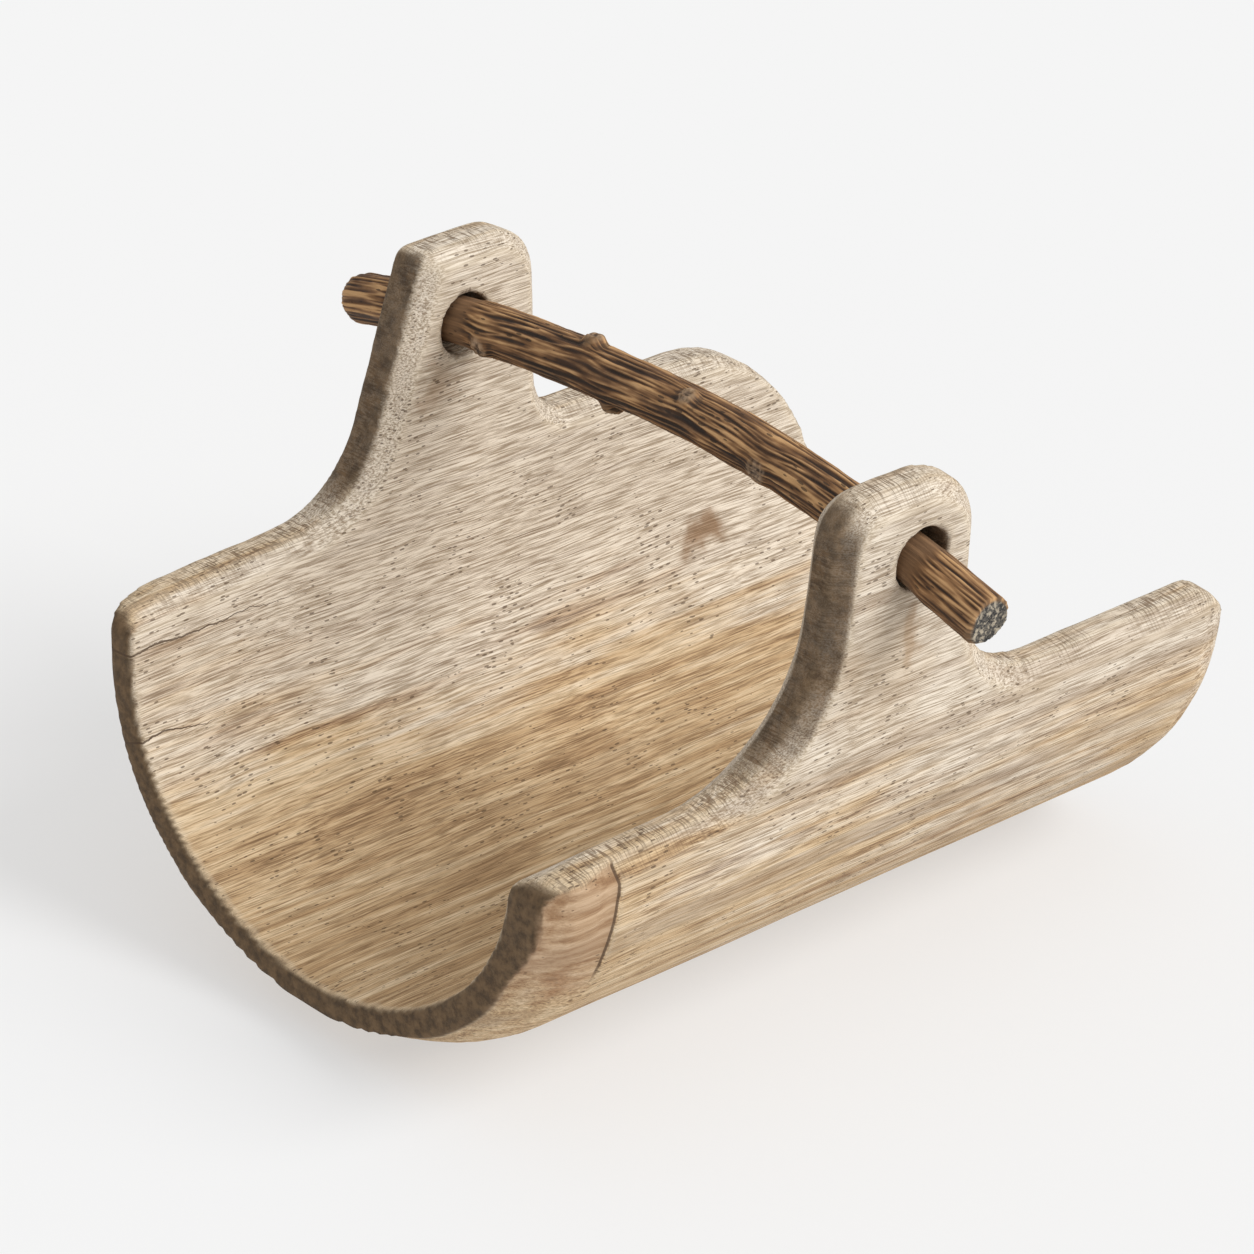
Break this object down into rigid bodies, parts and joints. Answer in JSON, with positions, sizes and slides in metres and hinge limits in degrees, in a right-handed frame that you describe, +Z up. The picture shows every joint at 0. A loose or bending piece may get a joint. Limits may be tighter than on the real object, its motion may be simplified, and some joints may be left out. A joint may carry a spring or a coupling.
{
  "type": "wooden carrying trough",
  "caption": "Half-log trough, open at both ends, with an upright ear on each side and a bent stick lying through the ears' holes as a handle.",
  "frame": {"origin": "centre of the flat foot under the trough, midway between the two ends", "axes": "+Z up, +Y along the trough towards its back end, +X towards the side with the lower rim"},
  "size_m": [0.4686, 0.48, 0.3088],
  "materials": {
    "pale_carved_wood": "rough, weathered, lightly whitewashed",
    "brown_stick_wood": "rough, debarked, ridged"
  },
  "bodies": {
    "trough": {"trough": "pale_carved_wood"},
    "stick": {"stick_handle": "brown_stick_wood"}
  },
  "joints": [
    {"name": "stick_turn", "type": "hinge", "parent": "trough", "child": "stick", "pos_m": [0, -0.01, 0.266], "axis": [1, 0, 0], "continuous": true}
  ]
}
